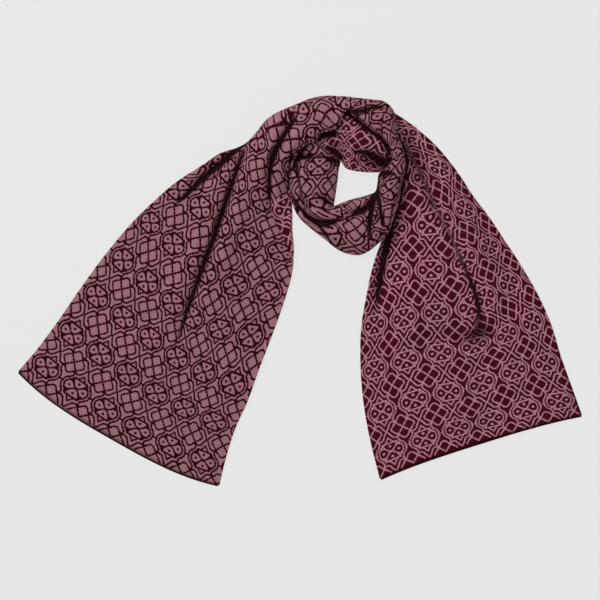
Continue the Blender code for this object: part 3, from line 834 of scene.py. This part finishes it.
rightHalf = {
    "along": 250,
    "across": 128,
    "hemBow": -6.0,
    "restRows": 99,
    "rows": (
        (111, -258, 387, -171), (97, -201, 373, -132), (88, -148, 358, -90),
        (84.5, -98, 345, -47.5, 0, 0, 1), (85.5, -51, 327.5, -7.5, 0, 0, 2),
        (92, -9, 305.3, 31.5, 0, 0, 3), (101.2, 33, 280.5, 69.5, 0, 0, 4, 0.2),
        (111.5, 62, 258.5, 102.6, 0, 0, 5, 0.4, 0.1), (118.5, 84, 238, 130, 2, 0, 5, 0.5, 0.2),
        (124, 111, 219, 159, 4, 0, 5, 0.5, 0.3), (128, 139, 201, 183, 5, 0, 4, 0.5, 0.4),
        (130, 166, 182, 204, 5, 1, 4, 0.5, 0.5), (128, 194, 162, 221, 5, 1, 4, 0.5, 0.5),
        (123, 217, 145.5, 234, 5, 2, 3, 0.4, 0.4), (117, 232, 131, 243, 5, 3, 2, 0.3, 0.3),
    ),
    "folds": (
        ((139, 172, 0, 5, 5), (137, 148, -2, 5, 6, 12, 0.6), (134, 124, -4, 5, 8, 20, 0.9),
         (128, 100, -6, 7, 9, 22, 1.5), (121, 66, -9, 7, 9, 18, 1.7), (112, 26, -9, 7, 7, 12, 1.6),
         (107, -6, -7, 6, 6, 6, 1), (104, -20, -3, 5, 5, 2, 0.4), (91, -54, 0, 5, 4)),
        ridge(7, 7, (119, 84, 3), (100, 20, 7), (88, -46, 0)),
        ((147, 200, -4, 7, 7, 130, 0.15), (170, 152, -7, 7, 7, 112, 0.2),
         (187, 114, -7, 7, 6, 92, 0.2), (207, 76, -6, 6, 5, 68, 0.2), (222, 42, -7, 5, 4, 50, 0.55),
         (238, 4, -10, 7, 4, 36, 1.1), (245, -22, -10, 8, 5, 20, 1), (243, -50, -6, 9, 9, 4, 0.3),
         (226, -70, -2, 9, 9, 0, 0.1)),
        # painted shade over the soft valley by the crease's upper part
        ((150, 212, -2, 16, 16, 0, 0.3), (159, 180, -4, 16, 16, 0, 0.3),
         (172, 150, -3, 16, 14, 0, 0.25), (190, 108, -1, 14, 12, 0, 0.15),
         (205, 72, 0, 10, 10, 0, 0.05)),
        # painted shadow of the column's right edge on the tail
        ((124, 226, 0, 6, 6, 0, 0.9), (134, 210, 0, 6, 6, 0, 0.9), (142, 196, 0, 6, 6, 0, 0.9),
         (145, 183, 0, 6, 6, 0, 0.9), (145.5, 166, 0, 6, 6, 0, 0.9), (142, 152, 0, 6, 6, 0, 0.9),
         (139, 138, 0, 6, 6, 0, 1), (135, 120, 0, 7, 6, 0, 1), (131, 106, 0, 8, 6, 0, 1)),
        ((208, -62, -3, 14, 14, 0, 0.2), (230, -63, -6, 16, 16, 0, 0.4),
         (250, -57, -7, 18, 18, 0, 0.6), (266, -42, -2, 12, 12, 0, 0.2)),
        ridge(18, 9, (168, 206, 5), (232, 86, 11), (288, -54, 0)),
        ridge(9, 9, (216, -84, 2), (240, -90, 3), (262, -72, 1)),
        ridge(28, 24, (150, 60, 2), (160, -20, 5), (165, -110, 0)),
        ridge(30, 30, (200, -110, 0), (215, -160, 2), (240, -200, 0)),
        ridge(22, 22, (300, -20, 1), (315, -70, 3), (330, -120, 0)),
        # painted shade along the right selvedge near the hem, where it turns down a little
        ((389, -174, 0, 5, 5, 0, 0.45), (373.5, -132, 0, 5, 5, 0, 0.4),
         (358.5, -90, 0, 4, 4, 0, 0.2), (345.5, -47, 0, 4, 4)),
    ),
    "waves": ((0.5, 70, 13), (0.22, 24, 15)),
    "patternAt": (
        (0, 0, 380, 479), (1, 0.17, 410.8, 455.6), (2, 0.17, 443.6, 445.2), (3, 0.17, 477.2, 434),
        (4, 0.17, 510.8, 426), (5, 0.17, 546, 415.6), (6, 0, 581, 417), (0, 1, 369.5, 438),
        (1, 1, 402.8, 427.1), (2, 1, 435.9, 414.3), (3, 1, 470, 407.9), (4, 1, 503.9, 395.3),
        (5, 1, 534.3, 385.5), (6, 1, 568, 380), (0, 2, 364, 394), (1, 2, 392, 386),
        (2, 2, 427.9, 374.8), (3, 2, 460.9, 370), (4, 2, 492.1, 357.2), (5, 2, 526.5, 347.9),
        (6, 2, 552, 339), (0, 3, 361, 350), (1, 3, 388.4, 344.1), (2, 3, 420.1, 334.8),
        (3, 3, 454.8, 330.5), (4, 3, 488.4, 323.6), (5, 3, 507.6, 307.6), (6, 3, 534, 297),
        (1, 4, 386, 300), (2, 4, 416.3, 292.5), (3, 4, 450.8, 289.2), (5, 4, 487.7, 269.9),
        (6, 4, 511, 260), (2, 5, 412.5, 247.5), (3, 5, 447.4, 246), (5, 5, 467, 231.5),
        (6, 5, 489, 224), (2.5, 5.5, 429.3, 224.5), (2, 6, 411, 203), (5, 6, 442, 192),
        (6, 6, 461, 185), (6, 7, 434, 146),
    ),
}

rightShape = shapeCloth(rightHalf)
rightPiece = clothShell("rightTail", rightShape, burgundySide, pinkSide, 0.0)
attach(rightPiece, "root")
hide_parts("right_tail")
report("right tail made")

loop = {
    "along": 300,
    "across": 84,
    # it goes on from the left half's last rows
    "rows": leftHalf["rows"][-3:] + (
        (97, 263, 86, 232, 12, 32, 10, 1, 0.6), (113, 261, 100, 222, 12, 31, 11, 1, 0.6),
        (124, 254, 111, 214, 12, 29, 12, 1, 0.6), (131, 242, 117, 205, 13, 27, 12, 0.9, 0.5),
        (132, 228, 122, 196, 14, 25, 11, 0.8, 0.5), (135, 213, 124, 187, 15, 23, 11, 0.8, 0.6),
        (141, 198, 124, 177, 14, 18, 15, 1, 0.8), (145, 183, 118, 168, 14, 12, 20, 1, 1),
        (145, 169, 109, 161, 13, 8, 25, 1, 1), (142, 154, 107, 151, 13, 6, 27, 1, 1),
        (139, 139, 106, 144, 12, 6, 27, 1, 1), (136, 121, 105, 139, 12, 6, 26, 1, 1),
        (129, 99, 102, 135, 12, 6, 25, 1, 1), (119, 75, 97, 133, 11, 6, 23, 1, 1),
        (107, 64, 91, 131, 10, 6, 22, 1, 1), (96, 55, 84, 129, 9, 5, 21, 1, 1),
        (82, 49, 76, 127, 6, 5, 22, 1, 1), (65, 51, 68, 125, 4, 5, 23, 1, 1),
        (50, 58, 60, 122, 4, 5, 23, 1, 1), (34, 71, 53, 119, 4, 5, 22, 1, 1),
        (17, 84, 48, 117, 5, 5, 21, 1, 1), (-0.5, 100, 47, 118, 8, 5, 19, 1, 1),
        (-11, 121, 48, 124, 12, 5, 16, 1, 1), (-12.5, 132, 50, 137, 12, 5, 15, 1, 1),
        (-13, 147, 52, 152, 11, 5, 14, 1, 1), (-13, 163, 53.5, 166, 9, 5, 14, 1, 1),
        (-11, 178, 55, 180, 9, 5, 11, 1, 1), (0, 191, 45, 189.5, 11, 8, 6, 1, 1),
        (6, 200, 31, 198.5, 12, 10, 5, 1, 1), (10, 208, 20, 207, 12, 12, 3, 1, 1),
    ),
    "drawnRows": (1, 32),
    "folds": (
        # the valley under the outer strip and the edge over the inner strip, both with painted
        # shade
        ((117, 250, -2, 6, 4, 0, 0.3), (109, 252, -6, 6, 3, 4, 1), (99, 251.5, -7, 6, 3, 6, 1),
         (91, 248.5, -7, 8, 3, 8, 1), (81, 246.5, -6, 9, 3, 10, 1), (72, 246, -5, 8, 3, 10, 1),
         (62, 246.5, -3, 6, 3, 8, 1)),
        ((70, 243, 0, 6, 6, 0, 1), (83, 232, 0, 6, 6, 0, 1), (98, 220, 0, 6, 5, 0, 1),
         (110, 212, 0, 5, 5, 0, 1), (117, 203, 0, 5, 4, 0, 1), (122, 192, 0, 5, 4, 0, 1),
         (123, 178, 0, 5, 4, 0, 0.9)),
        # painted shade in the inner corner of the neck hole and down its right edge
        ((108, 160.5, 0, 8, 8, 0, 1.4), (115, 161, 0, 8, 8, 0, 1.4), (125, 161, 0, 7, 7, 0, 0.8)),
        ((107, 164, 0, 5, 5, 0, 1), (107, 150, 0, 5, 5, 0, 0.9), (105, 138, 0, 6, 6, 0, 1.3)),
        # the slit round the bowl, and the fold that runs on from it, both with painted shade
        ((-10, 128, -3, 4, 4, 4, 0.7), (4, 110, -5, 4, 4, 6, 1), (20, 97, -8, 4, 8, 8, 1.7),
         (27, 95, -10, 4, 11, 8, 2), (36, 94, -9, 4, 11, 8, 2), (45, 95, -7, 4, 7, 6, 1.6),
         (55, 97, -4, 4, 4, 0, 0.5)),
        ((58, 97, -2, 4, 5, 0, 0.4), (72, 103, -5, 6, 5, 4, 0.8), (80, 108, -7, 9, 7, 6, 1.5),
         (88, 110.5, -7, 9, 6, 6, 1.5), (95, 120, -6, 6, 6, 4, 1), (101, 130, -2, 5, 5, 0, 1)),
        # the gathers down the bowl's right side, with painted shade in them
        ((103, 134, -1, 6, 6, 0, 1.3), (99, 112, -7, 5, 6, 0, 1.5), (96, 90, -7, 5, 6, 0, 1.3),
         (95, 74, -2, 4, 5, 0, 0.6)),
        ((107, 134, -1, 4, 5, 0, 1.1), (110, 113, -5, 4, 5, 0, 1.1), (115, 92, -3, 4, 6, 0, 1),
         (117, 84, -1, 4, 4)),
        ridge(5, 5, (97, 118, 2), (91, 96, 3), (88, 76, 1)),
        # inner left: its crease, the hollow by the neck hole, and the gap under its rim, all with
        # painted shade, and a painted shadow along the top band's edge above it
        ((-8, 178, -2, 5, 5, 6, 0.9), (-3, 163, -3, 4, 5, 8, 0.8), (1, 138, -4, 4, 4, 8, 0.6),
         (8, 112, -4, 4, 4, 0, 0.6)),
        ((28, 129, -2, 7, 7, 0, 0.6), (36, 124, -4, 7, 7, 6, 0.8), (46, 117, -2, 6, 6, 0, 0.4)),
        ((1, 183, -3, 6, 8, 0, 0.9), (13, 184, -4, 6, 7, 0, 0.9), (24, 186, -3, 4, 4, 0, 0.4),
         (35, 184, -3, 4, 6, 0, 0.7), (44, 181, -4, 5, 10, 0, 1), (56, 178, -2, 5, 11, 0, 1)),
        ((-12, 166, 0, 6, 6, 0, 1), (-8, 180, 0, 9, 9, 0, 1.6), (-1, 190, 0, 9, 9, 0, 1.6),
         (7, 199, 0, 7, 7, 0, 1), (14, 206, 0, 5, 5, 0, 0.9)),
    ),
    "waves": ((0.4, 30, 23), (0.2, 14, 25)),
    "patternAt": (
        (4.7, 9.46, 345.5, 105), (4.275, 10.5, 391, 112), (4.725, 10.5, 375.5, 117),
        (4.5, 11.63, 395, 154), (4.275, 12.5, 397, 188), (4.725, 12.5, 382, 192),
        (4.16, 13, 388, 214), (4.16, 14, 357, 224), (3.84, 14, 353, 234.5), (3.73, 14.5, 334, 228),
        (4.5, 14.5, 319, 207), (4.84, 15, 329, 187), (4.5, 15.5, 319, 167), (4.73, 15.5, 327, 166),
    ),
}

loopPiece = clothShell("neckLoop", shapeCloth(loop), pinkSide, burgundySide)
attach(loopPiece, "root")
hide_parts("right_column", "front_bowl", "inner_left")
report("loop made")

innerStrip = {
    "along": 110,
    "across": 80,
    # from the right to the left; each row goes from the neck hole up under the top band
    "rows": (
        (130, 164, 133, 190, 12, 17, 3, 1), (119, 162.4, 127, 199, 12, 19, 4, 1),
        (108, 162.4, 120, 207, 11, 21, 5, 1), (94, 162.6, 110, 218, 10, 22, 6, 1),
        (80, 163.8, 98, 227, 10, 22, 6, 1), (69, 166, 84, 239, 10, 21, 6, 1),
        (62, 169.5, 69, 247, 10, 20, 6, 1), (58, 175.5, 57, 249, 10, 20, 6, 1),
        (55, 178.5, 49, 242, 10, 19, 6, 1), (47, 183, 40, 231, 10, 19, 5, 0.8),
        (36, 189.5, 31, 223, 11, 18, 3, 0.6), (25, 196, 22, 214, 12, 17, 2, 0.4),
    ),
    "folds": (
        # the overhang above the lower part, with painted shade in its crease and over the lower
        # part
        ((76, 190, -1, 3, 5, 0, 0.4), (85, 191, -4, 3, 8, 0, 1), (98, 188.5, -6, 3, 9, 0, 1),
         (111, 182.5, -7, 3, 9, 0, 1), (124, 177, -6, 3, 9, 0, 1)),
        ((83, 180, 0, 12, 12, 0, 0.35), (100, 177, -2, 19, 17, 0, 0.55),
         (122, 170, -2, 19, 17, 0, 0.65)),
        # painted shade along the edge of the corner above it, and a painted shadow at its top left
        ((67, 243, -2, 6, 6, 0, 1), (83, 230, -2, 6, 6, 0, 0.9), (98, 218, -2, 6, 6, 0, 1),
         (110, 210, -2, 6, 6, 0, 1), (117, 201, -2, 6, 6, 0, 1), (123, 188, -2, 6, 6, 0, 1)),
        shadow(9, 9, (56, 246, 1), (70, 244, 1), (80, 241, 0.8)),
        # the hollow under the top band and the place behind the rim of the band below, both with
        # painted shade
        ((25, 211, -2, 9, 8, 0, 1), (34, 215, -5, 12, 13, 0, 1), (43, 216, -5, 12, 12, 0, 1),
         (53, 212, -1, 7, 7, 0, 0.5)),
        ((39, 197, -1, 6, 9, 0, 0.7), (48, 192, -2, 8, 12, 0, 1), (57, 183, -1, 6, 9, 0, 0.9)),
        ridge(8, 8, (48, 205, 1), (66, 208, 3), (84, 204, 3), (106, 192, 1)),
    ),
    "waves": ((0.35, 26, 33), (0.2, 12, 35)),
    "patternAt": (
        (0.5, 0.37, 347, 117), (0.5, 0.63, 346, 130), (0.84, 1, 352, 142), (1.16, 1, 362, 142),
        (1.5, 1.45, 372, 161), (0.97, 1.75, 353, 163), (1.5, 1, 377, 143),
    ),
}

innerPiece = clothShell("innerStrip", shapeCloth(innerStrip), burgundySide, pinkSide)
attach(innerPiece, "root")
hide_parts("inner_top")
report("inner strip made")

hiddenLayers = {
    "around": 260,
    "layerGap": 0.8,
    "leastHeight": 1.2,
    "top": 16.0,
    "middleColumns": 12,
    # the most of the width that one edge's steps may take, and the height where nothing covers
    "edgeShare": 0.4,
    "uncovered": 50.0,
    # each row: a point on the outer and one on the inner edge
    "rows": (
        (-32, 236, 36, 192), (17, 260, 46, 204), (62, 262, 66, 200), (108, 256, 96, 192),
        (122, 238, 110, 182), (131, 196, 119, 166), (133, 160, 114, 152), (128, 126, 113, 136),
        (111, 86, 100, 116), (84, 57, 86, 115), (54, 64, 64, 112), (22, 89, 49, 108),
        (3, 116, 40, 121), (0, 150, 44, 152), (-18, 190, 46, 172),
    ),
    # how far in from an edge, and how high the layers stand there
    "steps": (
        (0, 0.6), (-0.7, 1.3), (-0.7, 2.2), (0, 2.9), (1.9, 3.1), (1.5, 3.6), (1.5, 4.6),
        (2.2, 5.4), (4.2, 5.7), (3.8, 6.2), (3.8, 7.4), (4.5, 8.2), (8, 9.6),
    ),
}


# The ring under the loop: its profile climbs in rounded lips from either edge, and its top
# stays just under what covers it
def heapShell(piece, covers):
    table = np.array(piece["rows"], float)
    ring = np.vstack([table[-2:], table, table[:3]])
    knots = rowDistances(ring)
    places = np.linspace(knots[2], knots[len(table) + 2], piece["around"] + 1)[:-1]
    row = smoothRows(knots, ring, places)
    outer, inner = row[:, None, 0:2], row[:, None, 2:4]
    width = np.linalg.norm(inner - outer, axis=2)
    inset = np.array([s[0] for s in piece["steps"]])
    rise = np.array([s[1] for s in piece["steps"]])
    squeeze = np.minimum(1.0, piece["edgeShare"] * width / inset[-1])
    near = squeeze * inset / width
    between = np.linspace(0, 1, piece["middleColumns"] + 2)[None, 1:-1]
    middle = near[:, -1:] + (1 - 2 * near[:, -1:]) * between
    s = np.concatenate([near, middle, 1 - near[:, ::-1]], axis=1)[:, :, None]
    plan = outer * (1 - s) + inner * s
    flatTop = np.full(piece["middleColumns"], piece["top"])
    profile = np.concatenate([rise, flatTop, rise[::-1]])
    up = Vector((0, 0, 1))
    cover = np.full(plan.shape[:2], piece["uncovered"])
    for place in np.ndindex(plan.shape[:2]):
        low = Vector((*(plan[place] * millimetre), -1.0))
        hits = [tree.ray_cast(low, up)[0] for tree in covers]
        found = [hit.z / millimetre for hit in hits if hit]
        cover[place] = min(found) if found else 0.0
    low = cover.copy()
    for i in (-2, -1, 0, 1, 2):
        shifted = np.roll(cover, i, axis=0)
        low = np.minimum(low, shifted)
        low[:, 1:] = np.minimum(low[:, 1:], shifted[:, :-1])
        low[:, :-1] = np.minimum(low[:, :-1], shifted[:, 1:])
    top = np.maximum(np.minimum(profile[None, :], low - piece["layerGap"]), piece["leastHeight"])
    top = np.minimum(top, np.maximum(profile[None, :], piece["leastHeight"]))
    upper = np.concatenate([plan, top[:, :, None]], axis=2)
    lower = upper[:, [-1, 0]].copy()
    lower[:, :, 2] = 0.0
    sections = np.concatenate([upper, lower], axis=1)
    rows, wide = sections.shape[:2]
    index = np.arange(rows * wide).reshape(rows, wide)
    quads = gridFaces(np.pad(index, ((0, 1), (0, 1)), mode="wrap"))
    across = acrossRun(sections)
    along = np.broadcast_to((places - places[0])[:, None], across.shape)
    uv = np.stack([across / cloth["repeatAcross"], along / cloth["repeatAlong"]], axis=2)
    return meshPiece("hiddenLayers", sections.reshape(-1, 3) * millimetre, quads.tolist(),
                     uv.reshape(-1, 2), np.zeros(len(quads), int), (burgundySide,))


bpy.context.view_layer.update()
depsgraph = bpy.context.evaluated_depsgraph_get()
covers = [BVHTree.FromObject(piece, depsgraph)
          for piece in (leftPiece, rightPiece, loopPiece, innerPiece)]
heapPiece = heapShell(hiddenLayers, covers)
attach(heapPiece, "root")
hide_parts("hidden_layers")
report("hidden layers made")


# The line along a hem's middle height, a little outside it
def hemLine(points):
    middle = points[0].copy()
    middle[:, 2] -= 0.5 * cloth["thickness"]
    return middle + unit((points[0] - points[1]) * level) * castOff["reach"]


leftEdge = castOffEdge("leftCastOffEdge", hemLine(leftShape[0]))
rightEdge = castOffEdge("rightCastOffEdge", hemLine(rightShape[0]))
for edge in (leftEdge, rightEdge):
    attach(edge, "root")
report("cast-off edges made")


studio = {
    "floorGlow": 0.728,
    "floorReach": 4.0,
    "floorDrop": 0.0004,
    "skyGlow": 0.35,
    "cameraHeight": 5.0,
    # the width of the view at the floor, in metres
    "view": 0.8256,
    "sensor": 36.0,
    "photoMiddle": 300.0,
}

floorMesh = bpy.data.meshes.new("floor")
corners = [(x * studio["floorReach"], y * studio["floorReach"], 0)
           for x, y in ((-1, -1), (1, -1), (1, 1), (-1, 1))]
floorMesh.from_pydata(corners, [], [(0, 1, 2, 3)])
floor = bpy.data.objects.new("floor", floorMesh)
floor.location = (0, 0, -studio["floorDrop"])
bpy.context.scene.collection.objects.link(floor)
paint = Nodes("paleFloor")
paint.fill(paint.shader, {"Base Color": (0.08, 0.08, 0.08, 1), "Roughness": 1.0,
                          "Specular IOR Level": 0.0, "Emission Color": (1, 1, 1, 1),
                          "Emission Strength": studio["floorGlow"]})
floorMesh.materials.append(paint.material)


# A square lamp that points at the middle of the scarf
def softLight(name, place, size, power):
    lamp = bpy.data.lights.new(name, "AREA")
    lamp.shape = "SQUARE"
    lamp.size = size
    lamp.energy = power
    lamp.color = (1.0, 0.99, 0.98)
    light = bpy.data.objects.new(name, lamp)
    light.location = place
    light.rotation_euler = (-Vector(place)).to_track_quat("-Z", "Y").to_euler()
    bpy.context.scene.collection.objects.link(light)


softLight("keyLight", (-1.6, 1.5, 2.2), 1.3, 62.0)
softLight("fillLight", (1.6, -0.6, 2.4), 2.4, 14.0)

world = bpy.data.worlds.new("studioAir")
world.use_nodes = True
sky = world.node_tree.nodes["Background"]
sky.inputs["Color"].default_value = (1, 1, 1, 1)
sky.inputs["Strength"].default_value = studio["skyGlow"]
bpy.context.scene.world = world
bpy.context.scene.view_settings.view_transform = "Standard"
bpy.context.scene.view_settings.look = "None"

camera = bpy.data.objects.new("camera", bpy.data.cameras.new("camera"))
camera.data.sensor_fit = "HORIZONTAL"
camera.data.sensor_width = studio["sensor"]
camera.data.lens = studio["sensor"] * studio["cameraHeight"] / studio["view"]
camera.data.clip_end = 50.0
middleX, middleY = fromPhoto(studio["photoMiddle"], studio["photoMiddle"])
camera.location = (middleX * millimetre, middleY * millimetre, studio["cameraHeight"])
bpy.context.scene.collection.objects.link(camera)
bpy.context.scene.camera = camera
report("studio made")

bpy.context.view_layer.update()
report("size written")
